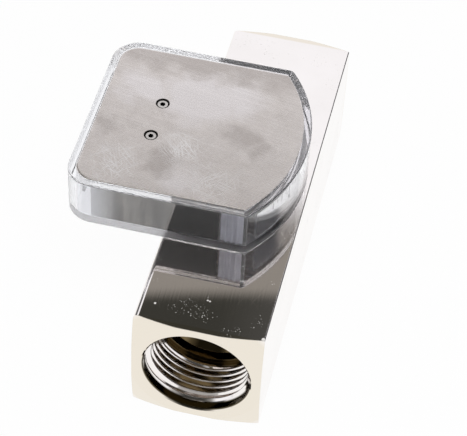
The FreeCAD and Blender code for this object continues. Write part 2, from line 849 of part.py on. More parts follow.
def make_cover_plate():
    body = case_body("cover_plate")
    outline = new_sketch(body, "plate_outline", "XY_Plane", lift=plate_bottom)
    shield(outline, plate_left, plate_half_width, plate_arc, plate_corner)
    pad(body, outline, dim.plate_thickness)

    def at_fold(edge):
        # The top edge all round but for the arc
        is_arc = hasattr(edge.Curve, "Radius") and edge.Curve.Radius > plate_half_width.number
        is_top = abs(edge.CenterOfMass.z - dim.case_height.number) < 1e-3
        return is_top and not is_arc

    dress(body, "Fillet", at_fold, dim.fold_radius)
    # Flanges fold down from the straight sides and stand on the case's floor.
    flanges = new_sketch(body, "plate_flanges", "XY_Plane", lift=dim.case_floor)
    flange_start = plate_left + plate_corner
    inner_half = plate_half_width - dim.flange_thickness
    left_half = plate_half_width - plate_corner - dim.left_flange_gap
    rectangle(flanges, flange_start, inner_half, flange_end, plate_half_width)
    rectangle(flanges, flange_start, -plate_half_width, flange_end, -inner_half)
    rectangle(flanges, plate_left, -left_half, plate_left + dim.flange_thickness, left_half)
    pad(body, flanges, plate_bottom - dim.case_floor)
    holes = new_sketch(body, "plate_holes", "XY_Plane", lift=dim.case_height)
    hole_radius = dim.cover_screw_radius + dim.plate_hole_clearance
    for side in (-1, 1):
        circle(holes, dim.cover_screw_x, dim.cover_screw_y * side, hole_radius)
    cut(body, "Pocket", holes, depth=dim.plate_thickness)

    def at_countersink(edge):
        is_top = abs(edge.CenterOfMass.z - dim.case_height.number) < 1e-3
        return is_top and hasattr(edge.Curve, "Radius") and abs(edge.Curve.Radius - hole_radius.number) < 1e-3

    countersink_radius = dim.cover_screw_head + dim.cover_screw_sink + dim.countersink_clearance
    dress(body, "Chamfer", at_countersink, countersink_radius - hole_radius)
    return body


def make_corner_posts():
    # Upright posts with three ribs each, between the ends of the flanges and the arc of the case.
    posts = []
    inner_arc = dim.case_arc - dim.case_wall - dim.post_wall_gap
    left = flange_end + dim.post_gap
    right = root(inner_arc * inner_arc - post_outer * post_outer)
    face_half = post_outer - dim.post_rib
    rib_count = 3
    rib_step = (right - left) / (rib_count + 1)
    for index, side in enumerate((-1, 1), 1):
        body = case_body(f"corner_post_{index}")
        face = new_sketch(body, f"corner_post_{index}_face", "XY_Plane", lift=dim.case_floor)
        rectangle(face, left, post_inner * side, right, face_half * side)
        pad(body, face, plate_bottom - dim.case_floor)
        ribs = new_sketch(body, f"corner_post_{index}_ribs", "XY_Plane", lift=dim.case_floor)
        for number in range(1, rib_count + 1):
            circle(ribs, left + rib_step * number, face_half * side, dim.post_rib)
        pad(body, ribs, plate_bottom - dim.case_floor)
        posts.append(body)
    return group("corner_posts", posts)


def make_scale_band():
    body = case_body("scale_band")
    section = new_sketch(body, "band_section", "XZ_Plane")
    foot_top = dim.case_floor + dim.band_thickness
    polygon(section, [
        (band_radius - dim.band_foot, dim.case_floor),
        (band_radius, dim.case_floor),
        (band_radius, band_top),
        (band_inner, band_top),
        (band_inner, foot_top),
        (band_radius - dim.band_foot, foot_top),
    ])
    revolve(body, section, axis="V_Axis", angle=band_spread)
    holes = new_sketch(body, "band_holes", "XY_Plane", lift=foot_top)
    for x, y in band_screw_places():
        circle(holes, x, y, dim.case_screw_radius + dim.screw_clearance)
    cut(body, "Pocket", holes, depth=dim.band_thickness)
    return body


def hexagon_socket(body, sketch_name, lift, radius, depth):
    socket = new_sketch(body, sketch_name, "XY_Plane", lift=lift)
    corners = []
    for index in range(6):
        turn = math.radians(60 * index)
        corners.append((radius * round(math.cos(turn), 6), radius * round(math.sin(turn), 6)))
    polygon(socket, corners)
    cut(body, "Pocket", socket, depth=depth)


def make_case_screws():
    screws = []
    seats = [dim.case_floor] * 2 + [dim.case_floor + dim.band_thickness] * 2
    for index, ((x, y), seat) in enumerate(zip(case_screw_places(), seats), 1):
        body = new_body(f"case_screw_{index}", x - dim.pivot_offset, y, dim.bar_side + seat)
        section = new_sketch(body, f"case_screw_{index}_section", "XZ_Plane")
        polygon(section, [
            (0, -dim.case_screw_length),
            (dim.case_screw_radius, -dim.case_screw_length),
            (dim.case_screw_radius, 0),
            (dim.case_screw_head, 0),
            (dim.case_screw_head, dim.case_screw_head_height),
            (0, dim.case_screw_head_height),
        ])
        revolve(body, section, axis="V_Axis")
        hexagon_socket(body, f"case_screw_{index}_socket", dim.case_screw_head_height,
                       dim.case_screw_socket, dim.case_screw_socket_depth)
        screws.append(body)
    return group("case_screws", screws)


def beside_pivot(side):
    # The place of one of the two cover screws.
    return dim.cover_screw_x - dim.pivot_offset, dim.cover_screw_y * side


def make_cover_screws():
    screws = []
    for index, side in enumerate((-1, 1), 1):
        x, y = beside_pivot(side)
        head_top = dim.case_height - dim.cover_screw_sink
        length = head_top - boss_top + dim.insert_length - dim.cover_screw_spare
        body = new_body(f"cover_screw_{index}", x, y, dim.bar_side + head_top)
        section = new_sketch(body, f"cover_screw_{index}_section", "XZ_Plane")
        head_depth = dim.cover_screw_head - dim.cover_screw_radius
        polygon(section, [
            (0, -length),
            (dim.cover_screw_radius, -length),
            (dim.cover_screw_radius, -head_depth),
            (dim.cover_screw_head, 0),
            (0, 0),
        ])
        revolve(body, section, axis="V_Axis")
        hexagon_socket(body, f"cover_screw_{index}_socket", 0,
                       dim.cover_screw_socket, dim.cover_screw_socket_depth)
        screws.append(body)
    return group("cover_screws", screws)


def make_tubes(label, outer, inner, bottom, height):
    # One tube round each cover screw.
    tubes = []
    for index, side in enumerate((-1, 1), 1):
        x, y = beside_pivot(side)
        body = new_body(f"{label}_{index}", x, y, dim.bar_side + bottom)
        face = new_sketch(body, f"{label}_{index}_face", "XY_Plane")
        circle(face, 0, 0, outer)
        circle(face, 0, 0, inner)
        pad(body, face, height)
        tubes.append(body)
    return group(label, tubes)


def make_cover_spacers():
    inner = dim.cover_screw_radius + dim.screw_clearance
    return make_tubes("cover_spacers", dim.spacer_radius, inner, bridge_top, plate_bottom - bridge_top)


def make_boss_inserts():
    inner = dim.cover_screw_radius + dim.screw_clearance / 2
    bottom = boss_top - dim.insert_length
    return make_tubes("boss_inserts", dim.insert_radius, inner, bottom, dim.insert_length)


def make_bearing_bridge():
    body = case_body("bearing_bridge")
    strip = new_sketch(body, "bridge_strip", "XY_Plane", lift=boss_top)
    strip_ends = [(dim.cover_screw_x, dim.cover_screw_y * side) for side in (-1, 1)]
    slot(strip, *strip_ends, boss_radius + dim.bridge_margin)
    pad(body, strip, dim.bridge_thickness)
    lobe = new_sketch(body, "bridge_lobe", "XY_Plane", lift=boss_top)
    slot(lobe, (0, 0), (dim.cover_screw_x, 0), dim.bridge_lobe)
    pad(body, lobe, dim.bridge_thickness)
    holes = new_sketch(body, "bridge_holes", "XY_Plane", lift=bridge_top)
    circle(holes, 0, 0, dim.jewel_radius)
    for x, y in strip_ends:
        circle(holes, x, y, dim.cover_screw_radius + dim.screw_clearance)
    cut(body, "Pocket", holes, depth=dim.bridge_thickness)
    return body


def make_lower_jewel():
    body = case_body("lower_jewel")
    section = new_sketch(body, "lower_jewel_section", "XZ_Plane")
    bottom = pivot_boss_top - dim.jewel_depth
    cup_bottom = pivot_boss_top - dim.jewel_cup
    hole = dim.pivot_radius + dim.running_clearance
    polygon(section, [
        (0, bottom),
        (dim.jewel_radius, bottom),
        (dim.jewel_radius, pivot_boss_top),
        (hole, pivot_boss_top),
        (hole, cup_bottom),
        (0, cup_bottom),
    ])
    revolve(body, section, axis="V_Axis")
    return body


def make_upper_jewel():
    body = case_body("upper_jewel")
    face = new_sketch(body, "upper_jewel_face", "XY_Plane", lift=boss_top)
    circle(face, 0, 0, dim.jewel_radius)
    circle(face, 0, 0, dim.pivot_radius + dim.running_clearance)
    pad(body, face, dim.bridge_thickness)
    return body


def pointer_piece(label):
    return case_body(label, turn=dim.rest_angle)


def make_pointer_arbor():
    body = pointer_piece("pointer_arbor")
    section = new_sketch(body, "arbor_section", "XZ_Plane")
    foot = pivot_boss_top - dim.jewel_cup + dim.running_clearance
    lower_shoulder = pivot_boss_top + dim.arbor_end_play
    upper_shoulder = boss_top - dim.arbor_end_play
    collar_bottom = arm_bottom - dim.arbor_collar_height
    polygon(section, [
        (0, foot),
        (dim.pivot_radius, foot),
        (dim.pivot_radius, lower_shoulder),
        (dim.arbor_radius, lower_shoulder),
        (dim.arbor_radius, collar_bottom),
        (dim.arbor_collar, collar_bottom),
        (dim.arbor_collar, arm_bottom),
        (dim.arbor_radius, arm_bottom),
        (dim.arbor_radius, upper_shoulder),
        (dim.pivot_radius, upper_shoulder),
        (dim.pivot_radius, bridge_top),
        (0, bridge_top),
    ])
    revolve(body, section, axis="V_Axis")
    return body


def make_pointer_arm():
    # A strip that rises over the scale band and ends above its edge in a narrowed tip.
    body = pointer_piece("pointer_arm")
    section = new_sketch(body, "arm_section", "XZ_Plane")
    tail = -(dim.weight_reach + dim.weight_radius + dim.tail_spare)
    rise = band_inner - dim.rise_gap
    tip_under = tip_top - dim.arm_thickness
    polygon(section, [
        (tail, arm_bottom),
        (rise, arm_bottom),
        (rise, tip_under),
        (tip_radius, tip_under),
        (tip_radius, tip_top),
        (rise - dim.arm_thickness, tip_top),
        (rise - dim.arm_thickness, arm_top),
        (tail, arm_top),
    ])
    pad(body, section, dim.arm_width, symmetric=True)

    def at_tip(edge):
        return is_upright(edge) and abs(edge.CenterOfMass.x - tip_radius.number) < 1e-3

    dress(body, "Chamfer", at_tip, dim.tip_taper)
    rounds = new_sketch(body, "arm_rounds", "XY_Plane", lift=arm_bottom)
    circle(rounds, 0, 0, dim.arm_hub)
    circle(rounds, follower_reach, 0, dim.follower_radius)
    circle(rounds, -dim.weight_reach, 0, dim.weight_radius)
    pad(body, rounds, dim.arm_thickness)
    hole = new_sketch(body, "arm_hole", "XY_Plane", lift=arm_top)
    circle(hole, 0, 0, dim.arbor_radius)
    cut(body, "Pocket", hole, depth=dim.arm_thickness)
    return body


def make_pointer_disc(label, reach, radius, bottom, height):
    body = pointer_piece(label)
    face = new_sketch(body, label + "_face", "XY_Plane", lift=bottom)
    circle(face, reach, 0, radius)
    pad(body, face, height)
    return body


def make_follower_magnet():
    bottom = arm_bottom - dim.follower_height
    return make_pointer_disc("follower_magnet", follower_reach, dim.follower_radius,
                             bottom, dim.follower_height)


def make_balance_weight():
    return make_pointer_disc("balance_weight", -dim.weight_reach, dim.weight_radius,
                             arm_top, dim.weight_height)


nodes = [
    make_meter_body(),
    make_outlet_spider(),
    make_metering_sleeve(),
    make_sleeve_seal(),
    make_inlet_spider(),
    make_retaining_ring(),
    make_guide_rod(),
    make_return_spring(),
    make_piston(),
    make_piston_magnet(),
    make_magnet_nut(),
    make_piston_bushes(),
    make_indicator_case(),
    make_case_screws(),
    make_scale_band(),
    make_boss_inserts(),
    make_lower_jewel(),
    make_bearing_bridge(),
    make_upper_jewel(),
    make_cover_spacers(),
    make_corner_posts(),
    make_cover_plate(),
    make_cover_screws(),
    make_pointer_arbor(),
    make_pointer_arm(),
    make_follower_magnet(),
    make_balance_weight(),
]
doc.recompute()

for item in doc.Objects:
    if "Invalid" in item.State or "Error" in item.State:
        raise ValueError(f"{item.Label} did not compute")
for node in nodes:
    if node.Shape.isNull() or not node.Shape.isValid() or not node.Shape.Solids:
        raise ValueError(f"{node.Label} is not a valid solid")

os.makedirs("parts", exist_ok=True)
for node in nodes:
    node.Shape.exportStep(f"parts/{node.Label}.step")
    box = node.Shape.optimalBoundingBox()
    print(f"{node.Label}: {len(node.Shape.Solids)} solids, {node.Shape.Volume:.1f} mm3, "
          f"{box.XLength:.2f} x {box.YLength:.2f} x {box.ZLength:.2f} mm")
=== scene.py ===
import json
import math
import bpy
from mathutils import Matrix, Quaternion, Vector


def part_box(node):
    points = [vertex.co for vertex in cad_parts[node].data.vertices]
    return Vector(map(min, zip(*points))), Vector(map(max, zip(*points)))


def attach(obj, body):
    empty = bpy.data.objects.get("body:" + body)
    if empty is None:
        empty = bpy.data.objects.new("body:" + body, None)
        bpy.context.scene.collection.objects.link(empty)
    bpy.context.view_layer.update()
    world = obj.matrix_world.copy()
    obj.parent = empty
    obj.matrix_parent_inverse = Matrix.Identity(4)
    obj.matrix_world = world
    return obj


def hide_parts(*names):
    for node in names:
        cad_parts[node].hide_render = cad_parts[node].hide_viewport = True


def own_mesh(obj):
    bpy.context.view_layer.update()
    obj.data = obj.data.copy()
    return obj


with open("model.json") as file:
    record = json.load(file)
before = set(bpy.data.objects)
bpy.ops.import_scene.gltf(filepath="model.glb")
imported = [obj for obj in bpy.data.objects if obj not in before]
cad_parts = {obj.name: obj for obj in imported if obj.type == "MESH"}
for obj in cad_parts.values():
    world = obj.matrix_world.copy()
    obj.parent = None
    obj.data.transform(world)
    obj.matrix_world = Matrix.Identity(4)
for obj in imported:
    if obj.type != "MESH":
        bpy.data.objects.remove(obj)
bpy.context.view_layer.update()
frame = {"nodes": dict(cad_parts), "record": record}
nodes = frame["nodes"]
record = frame["record"]
mm = 0.001
bpy.ops.object.select_all(action="DESELECT")
bpy.context.scene.view_settings.view_transform = "Standard"
print("frame: nodes loaded", len(nodes))


def named(entries, name):
    return next(entry for entry in entries if entry["name"] == name)


# Places and heights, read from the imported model
swing = named(record["behaviour"]["joints"], "pointer_swing")
pivot = Vector(swing["pos_m"])
flowHeight = named(record["mounts"], "inlet_port")["pos_m"][2]
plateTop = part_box("cover_plate")[1].z
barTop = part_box("meter_body")[1].z


# Small helpers for modelling
def pickOnly(piece):
    bpy.ops.object.select_all(action="DESELECT")
    piece.select_set(True)
    bpy.context.view_layer.objects.active = piece


def nameNew(name):
    piece = bpy.context.object
    piece.name = name
    piece.data.name = name
    return piece


def selectWhere(piece, test):
    bpy.ops.object.mode_set(mode="EDIT")
    bpy.ops.mesh.select_mode(type="VERT")
    bpy.ops.mesh.select_all(action="DESELECT")
    bpy.ops.object.mode_set(mode="OBJECT")
    for vertex in piece.data.vertices:
        vertex.select = test(vertex.co)
    bpy.ops.object.mode_set(mode="EDIT")


def applyModifier(piece, kind, **settings):
    pickOnly(piece)
    modifier = piece.modifiers.new(kind.lower(), kind)
    for setting, value in settings.items():
        setattr(modifier, setting, value)
    bpy.ops.object.modifier_apply(modifier=modifier.name)


def bakePlace(piece):
    pickOnly(piece)
    bpy.ops.object.transform_apply(location=True, rotation=True, scale=True)


def closeEnds(piece):
    pickOnly(piece)
    bpy.ops.object.mode_set(mode="EDIT")
    bpy.ops.mesh.select_all(action="SELECT")
    bpy.ops.mesh.fill_holes(sides=0)
    bpy.ops.mesh.select_all(action="SELECT")
    bpy.ops.mesh.normals_make_consistent(inside=False)
    bpy.ops.object.mode_set(mode="OBJECT")


# Small helpers for shader nodes: an input given a socket is linked, any other value is set
def addNode(tree, kind, inputs=None, **settings):
    made = tree.nodes.new("ShaderNode" + kind)
    for setting, value in settings.items():
        setattr(made, setting, value)
    for socket, value in (inputs or {}).items():
        if isinstance(value, bpy.types.NodeSocket):
            tree.links.new(value, made.inputs[socket])
        else:
            made.inputs[socket].default_value = value
    return made


def clearTree(owner):
    owner.use_nodes = True
    owner.node_tree.nodes.clear()
    return owner.node_tree


def calc(tree, operation, first, second=0.0):
    return addNode(tree, "Math", {0: first, 1: second}, operation=operation).outputs[0]


def highest(tree, values):
    total = values[0]
    for value in values[1:]:
        total = calc(tree, "MAXIMUM", total, value)
    return total


def spread(tree, value, low, high, toLow=0.0, toHigh=1.0):
    limits = {"Value": value, "From Min": low, "From Max": high, "To Min": toLow, "To Max": toHigh}
    return addNode(tree, "MapRange", limits).outputs["Result"]


def blendColours(tree, share, first, second):
    mixed = addNode(tree, "Mix", {"Factor": share, "A": first, "B": second}, data_type="RGBA")
    return mixed.outputs["Result"]


def noise(tree, place, scale, detail=3.0, rough=0.5):
    inputs = {"Vector": place, "Scale": scale, "Detail": detail, "Roughness": rough}
    return addNode(tree, "TexNoise", inputs).outputs["Fac"]


def clouds(tree, place, scale, limits=(0.35, 0.70), detail=3.0, rough=0.5):
    return spread(tree, noise(tree, place, scale, detail, rough), *limits)


def objectPlace(tree):
    return addNode(tree, "TexCoord").outputs["Object"]


def splitPlace(tree, place):
    return addNode(tree, "SeparateXYZ", {0: place}).outputs


def vectorMath(tree, operation, first, second):
    return addNode(tree, "VectorMath", {0: first, 1: second}, operation=operation).outputs


def distanceFrom(tree, place, centre):
    return vectorMath(tree, "DISTANCE", place, centre)["Value"]


def warpedPlace(tree, place, scale, amount, detail=4.0):
    shaken = addNode(tree, "TexNoise", {"Vector": place, "Scale": scale, "Detail": detail}).outputs["Color"]
    centred = vectorMath(tree, "SUBTRACT", shaken, (0.5, 0.5, 0.5))["Vector"]
    shift = addNode(tree, "VectorMath", {0: centred, "Scale": amount}, operation="SCALE").outputs["Vector"]
    return vectorMath(tree, "ADD", place, shift)["Vector"]


# a pattern on this place is turned, and drawn out along its own Y
def drawnPlace(tree, place, stretch, turn):
    scale = addNode(tree, "CombineXYZ", {"X": 1.0, "Y": stretch, "Z": 1.0}).outputs[0]
    drawn = {"Vector": place, "Rotation": turn, "Scale": scale}
    return addNode(tree, "Mapping", drawn, vector_type="TEXTURE").outputs["Vector"]


# each spot is x, y and reach in millimetres, and blur is in millimetres too
def softSpots(tree, place, spots, blur, level):
    masks = []
    for x, y, reach in spots:
        far = distanceFrom(tree, place, (x * mm, y * mm, level))
        masks.append(spread(tree, far, (reach + blur) * mm, (reach - blur) * mm))
    return highest(tree, masks)


def newGroup(name, inputs, outputs):
    group = bpy.data.node_groups.new(name, "ShaderNodeTree")
    for label, value in inputs.items():
        socket = group.interface.new_socket(label, in_out="INPUT", socket_type="NodeSocketFloat")
        socket.default_value = value
    for label, kind in outputs.items():
        group.interface.new_socket(label, in_out="OUTPUT", socket_type="NodeSocket" + kind)
    given = group.nodes.new("NodeGroupInput").outputs
    result = group.nodes.new("NodeGroupOutput").inputs
    return group, given, result


def useGroup(tree, group, **values):
    placed = tree.nodes.new("ShaderNodeGroup")
    placed.node_tree = group
    for label, value in values.items():
        placed.inputs[label].default_value = value
    return placed.outputs


def newMaterial(name):
    material = bpy.data.materials.new(name)
    tree = clearTree(material)
    shader = addNode(tree, "BsdfPrincipled")
    tree.links.new(shader.outputs["BSDF"], addNode(tree, "OutputMaterial").inputs["Surface"])
    return material, tree, shader.inputs


def addBump(tree, shader, height, bump, **normal):
    strength, distance = bump
    inputs = {"Height": height, "Strength": strength, "Distance": distance, **normal}
    tree.links.new(addNode(tree, "Bump", inputs).outputs["Normal"], shader["Normal"])


# Camera, fitted to the bar's edges in the 467 x 436 frame
viewpoint = {
    "place": (0.07620, -0.42062, 0.47925),
    "aim": (-0.0002, -0.0197, 0.0400),
    "rollDegrees": 3.35,
    "lens": 149.29,
    "sensorWidth": 36.0,
}


def placeCamera():
    place = Vector(viewpoint["place"])
    level = (Vector(viewpoint["aim"]) - place).to_track_quat("-Z", "Y")
    turned = level @ Quaternion((0, 0, 1), math.radians(viewpoint["rollDegrees"]))
    bpy.ops.object.camera_add(location=place, rotation=turned.to_euler())
    camera = bpy.context.object
    camera.data.sensor_width = viewpoint["sensorWidth"]
    camera.data.lens = viewpoint["lens"]
    bpy.context.scene.camera = camera


placeCamera()
print("camera: placed")

# Studio: a pale floor, and a soft lamp that the metal doesn't show
studio = {
    "floorSize": 8.0,
    "floorPlace": (0, 3.6, 0),
    "floorColour": (0.84, 0.84, 0.84, 1),
    "floorGlow": 0.965,
    "backdrop": (1, 1, 1, 1),
    "lampPlace": (0.15, -0.42, 1.05),
    "lampSize": 0.6,
    "lampPower": 7.0,
    "lightBounces": 32,  # clear walls pass the light on many times
}
# What the metal reflects: white walls on the far side, a darker room on the near side, a flag on each side,
# and a dark ceiling round a soft light overhead. Heights are degrees above the floor, and the other places
# are X, Y or Z of a unit direction. A pair gives where a change begins and where it is full
surroundings = {
    "white": (1.0, 1.0, 1.03, 1),
    "border": (0.28, 0.26, 0.235, 1),
    "dark": (0.042, 0.041, 0.035, 1),
    "darkRight": (0.080, 0.078, 0.073, 1),
    "overhead": (0.85, 0.85, 0.85, 1),
    "nearWall": (0.40, 0.39, 0.38, 1),
    "room": (0.045, 0.043, 0.038, 1),
    "lightRoom": (0.06, 0.058, 0.055, 1),
    "rightFlag": (0.05, 0.05, 0.055, 1),
    "leftFlag": (0.14, 0.14, 0.14, 1),
    "farSide": [(46.3, "white"), (47.3, "border")],
    "nearSide": [
        (26.0, "nearWall"),
        (34.0, "room"),
        (40.0, "lightRoom"),
        (50.0, "lightRoom"),
        (58.0, "room"),
        (66.0, "overhead"),
    ],
    "nearFrom": (-0.10, -0.30),
    "nearWidth": (0.62, 0.50),
    "ceilingEdge": (48.88, 49.22),
    "ceilingLean": 0.028,
    "darkRightFrom": (-0.125, -0.085),
    "overheadEdge": (58.0, 66.0),
    "rightReach": (0.50, 0.56, 0.84, 0.90),
    "leftReach": (-0.50, -0.56, -0.86, -0.92),
    "leftEnd": (0.70, 0.665),
    "flagsStart": (-0.52, -0.42),
    "flagTop": (0.85, 0.80),
}


def hangLamp():
    place = Vector(studio["lampPlace"])
    turn = (-place).to_track_quat("-Z", "Y").to_euler()
    bpy.ops.object.light_add(type="AREA", location=place, rotation=turn)
    bpy.context.object.visible_glossy = False
    lamp = bpy.context.object.data
    lamp.size = studio["lampSize"]
    lamp.energy = studio["lampPower"]


def sine(degrees):
    return math.sin(math.radians(degrees))


def heightRamp(tree, height, bands):
    ramp = addNode(tree, "ValToRGB", {"Fac": height})
    stops = ramp.color_ramp.elements
    while len(stops) < len(bands):
        stops.new(0.5)  # its place is set below
    for stop, (degrees, colour) in zip(stops, bands):
        stop.position = sine(degrees)
        stop.color = surroundings[colour]
    return ramp.outputs["Color"]


def above(tree, height, edge):
    low, high = surroundings[edge]
    return spread(tree, height, sine(low), sine(high))


def flagMask(tree, along, reach):
    begin, full, leave, finish = surroundings[reach]
    rising = spread(tree, along["X"], begin, full)
    falling = spread(tree, along["X"], finish, leave)
    across = calc(tree, "MINIMUM", rising, falling)
    across = calc(tree, "MULTIPLY", across, spread(tree, along["Y"], *surroundings["flagsStart"]))
    return calc(tree, "MULTIPLY", across, spread(tree, along["Z"], *surroundings["flagTop"]))


def paintSurroundings(tree):
    along = splitPlace(tree, addNode(tree, "TexCoord").outputs["Generated"])
    height = along["Z"]
    right = spread(tree, along["X"], *surroundings["darkRightFrom"])
    ceiling = blendColours(tree, right, surroundings["dark"], surroundings["darkRight"])
    ceiling = blendColours(tree, above(tree, height, "overheadEdge"), ceiling, surroundings["overhead"])
    leaning = calc(tree, "ADD", height, calc(tree, "MULTIPLY", along["X"], surroundings["ceilingLean"]))
    far = heightRamp(tree, height, surroundings["farSide"])
    far = blendColours(tree, above(tree, leaning, "ceilingEdge"), far, ceiling)
    near = spread(tree, along["Y"], *surroundings["nearFrom"])
    aside = calc(tree, "ABSOLUTE", along["X"])
    near = calc(tree, "MULTIPLY", near, spread(tree, aside, *surroundings["nearWidth"]))
    around = blendColours(tree, near, far, heightRamp(tree, height, surroundings["nearSide"]))
    around = blendColours(tree, flagMask(tree, along, "rightReach"), around, surroundings["rightFlag"])
    left = flagMask(tree, along, "leftReach")
    left = calc(tree, "MULTIPLY", left, spread(tree, along["Y"], *surroundings["leftEnd"]))
    return blendColours(tree, left, around, surroundings["leftFlag"])


def paintWorld():
    scene = bpy.context.scene
    scene.world = bpy.data.worlds.new("studio")
    tree = clearTree(scene.world)
    direct = addNode(tree, "LightPath").outputs["Is Camera Ray"]
    seen = blendColours(tree, direct, paintSurroundings(tree), studio["backdrop"])
    sky = addNode(tree, "Background", {"Color": seen})
    tree.links.new(sky.outputs[0], addNode(tree, "OutputWorld").inputs["Surface"])
    for limit in ("max_bounces", "transmission_bounces", "glossy_bounces"):
        setattr(scene.cycles, limit, studio["lightBounces"])


def layFloor():
    bpy.ops.mesh.primitive_plane_add(size=studio["floorSize"], location=studio["floorPlace"])
    floor = nameNew("floor")
    material = bpy.data.materials.new("paleFloor")
    tree = clearTree(material)
    paper = addNode(tree, "BsdfDiffuse", {"Color": studio["floorColour"]}).outputs[0]
    glow = addNode(tree, "Emission", {"Color": studio["backdrop"]}).outputs[0]
    path = addNode(tree, "LightPath").outputs
    seen = highest(tree, [path["Is Camera Ray"], path["Is Glossy Ray"], path["Is Transmission Ray"]])
    share = calc(tree, "MULTIPLY", seen, studio["floorGlow"])
    mixed = addNode(tree, "MixShader", {0: share, 1: paper, 2: glow}).outputs[0]
    tree.links.new(mixed, addNode(tree, "OutputMaterial").inputs["Surface"])
    floor.data.materials.append(material)


hangLamp()
paintWorld()
layFloor()
print("studio: floor, surroundings and lamp")

# Shared effects, each built once
scratchLines = {
    "turns": (0.35, 1.25, 2.3, 0.8, 2.8),
    "fade": 0.06,
    "detail": 1.0,
    "patches": {"scale": 45.0, "limits": (0.35, 0.50)},
}


def makeScratches():
    inputs = {"Density": 500.0, "Stretch": 45.0, "Cut": 0.70, "Amount": 1.0}
    group, given, result = newGroup("fineScratches", inputs, {"Mask": "Float"})
    place = objectPlace(group)
    lines = []
    for turn in scratchLines["turns"]:
        drawn = drawnPlace(group, place, given["Stretch"], (0, 0, turn))
        streaks = noise(group, drawn, given["Density"], scratchLines["detail"])
        over = calc(group, "SUBTRACT", streaks, given["Cut"])
        lines.append(spread(group, over, 0.0, scratchLines["fade"]))
    patches = clouds(group, place, **scratchLines["patches"])
    mask = calc(group, "MULTIPLY", highest(group, lines), patches)
    group.links.new(calc(group, "MULTIPLY", mask, given["Amount"]), result["Mask"])
    return group


def makeGrain():
    inputs = {"Fineness": 2500.0, "Stretch": 120.0, "Turn": 0.0}
    group, given, result = newGroup("drawnGrain", inputs, {"Value": "Float"})
    turn = addNode(group, "CombineXYZ", {"Z": given["Turn"]}).outputs[0]
    drawn = drawnPlace(group, objectPlace(group), given["Stretch"], turn)
    group.links.new(noise(group, drawn, given["Fineness"], rough=0.6), result["Value"])
    return group


dust = {
    "warp": {"scale": 2500.0, "amount": 0.0006},
    "kept": (0.5, 1.0),  # the half of the cells that hold a speck
    "largest": 0.33,
    "patchScale": 110.0,
    "patchShare": 0.5,
}


def makeSpecks():
    group, given, result = newGroup("dustSpecks", {"Spacing": 900.0, "Share": 0.5}, {"Mask": "Float"})
    place = warpedPlace(group, objectPlace(group), **dust["warp"])
    cells = addNode(group, "TexVoronoi", {"Vector": place, "Scale": given["Spacing"]}).outputs
    chance = addNode(group, "SeparateColor", {0: cells["Color"]}).outputs[0]
    size = spread(group, chance, *dust["kept"], 0.0, dust["largest"])
    dots = calc(group, "LESS_THAN", cells["Distance"], size)
    limit = calc(group, "SUBTRACT", 1.0, calc(group, "MULTIPLY", given["Share"], dust["patchShare"]))
    patches = calc(group, "GREATER_THAN", noise(group, place, dust["patchScale"]), limit)
    group.links.new(calc(group, "MULTIPLY", dots, patches), result["Mask"])
    return group


softEdge = {"samples": 6, "facing": (0.998, 0.9)}


def makeEdges():
    outputs = {"Edge": "Float", "Normal": "Vector"}
    group, given, result = newGroup("softEdges", {"Radius": 0.0003}, outputs)
    bevel = addNode(group, "Bevel", {"Radius": given["Radius"]}, samples=softEdge["samples"])
    rounded = bevel.outputs["Normal"]
    flat = addNode(group, "NewGeometry").outputs["Normal"]
    facing = vectorMath(group, "DOT_PRODUCT", rounded, flat)["Value"]
    group.links.new(spread(group, facing, *softEdge["facing"]), result["Edge"])
    group.links.new(rounded, result["Normal"])
    return group


scratches = makeScratches()
grain = makeGrain()
specks = makeSpecks()
edges = makeEdges()
print("shared effects: scratches, grain, specks, edges")

# Finishes, one function for each. A pair of lengths, in metres, gives where a change begins and where it is
# full, roughness is the least and the most, and bump is its strength and distance
grainLimits = (0.3, 0.7)
nickel = {
    "plating": (0.94, 0.905, 0.885, 1),
    "dull": (0.90, 0.865, 0.84, 1),
    "clouds": {"scale": 60.0, "limits": (0.35, 0.75)},
    "grain": {"Fineness": 1800.0, "Stretch": 90.0},
    "scratches": {"Density": 1500.0, "Amount": 0.08},
    "specks": {"Spacing": 2300.0, "Share": 0.86},
    # the end faces get a warmer, darker colour: a painted shade and reflection
    "turned": (0.85, 0.79, 0.69, 1),
    "turnedFrom": (0.0650, 0.0656),
    "speck": (0.9, 0.88, 0.84, 1),
    "speckCover": 0.7,
    "flecks": [(-14.8, -59.4, 0.3), (0.1, -54.3, 0.25), (0.8, -54.5, 0.22), (19.4, -64.6, 0.5)],
    "fleckBlur": 0.15,
    # painted shade in the flow bore: dark brown deep inside, near black in the ring at each port's mouth
    "bore": (0.16, 0.12, 0.06, 1),
    "recess": (0.08, 0.065, 0.035, 1),
    "boreRadius": (0.01700, 0.01680),
    "boreStart": (0.0500, 0.0488),
    "recessStart": (0.0638, 0.0642),
    "edgeRadius": 0.0002,
    "grainLimits": (0.3, 0.75),
    "roughness": (0.015, 0.032),
    "scratchRough": 0.2,
    "edgeRough": 0.08,
    "speckRough": 0.7,
    "boreRough": 0.075,
    "scratchDepth": 0.8,
    "bump": (0.008, 0.0002),
}


# Painted shade inside the flow bore, darker than the plating: dark brown deep inside, near black at each
# port's mouth
def shadeBore(tree, place, plated):
    along = splitPlace(tree, place)
    across = addNode(tree, "CombineXYZ", {"X": along["X"], "Z": along["Z"]}).outputs[0]
    inside = spread(tree, distanceFrom(tree, across, (0, 0, flowHeight)), *nickel["boreRadius"])
    fromMiddle = calc(tree, "ABSOLUTE", along["Y"])
    deep = calc(tree, "MULTIPLY", inside, spread(tree, fromMiddle, *nickel["boreStart"]))
    recess = calc(tree, "MULTIPLY", inside, spread(tree, fromMiddle, *nickel["recessStart"]))
    shaded = blendColours(tree, deep, plated, nickel["bore"])
    return blendColours(tree, recess, shaded, nickel["recess"]), inside


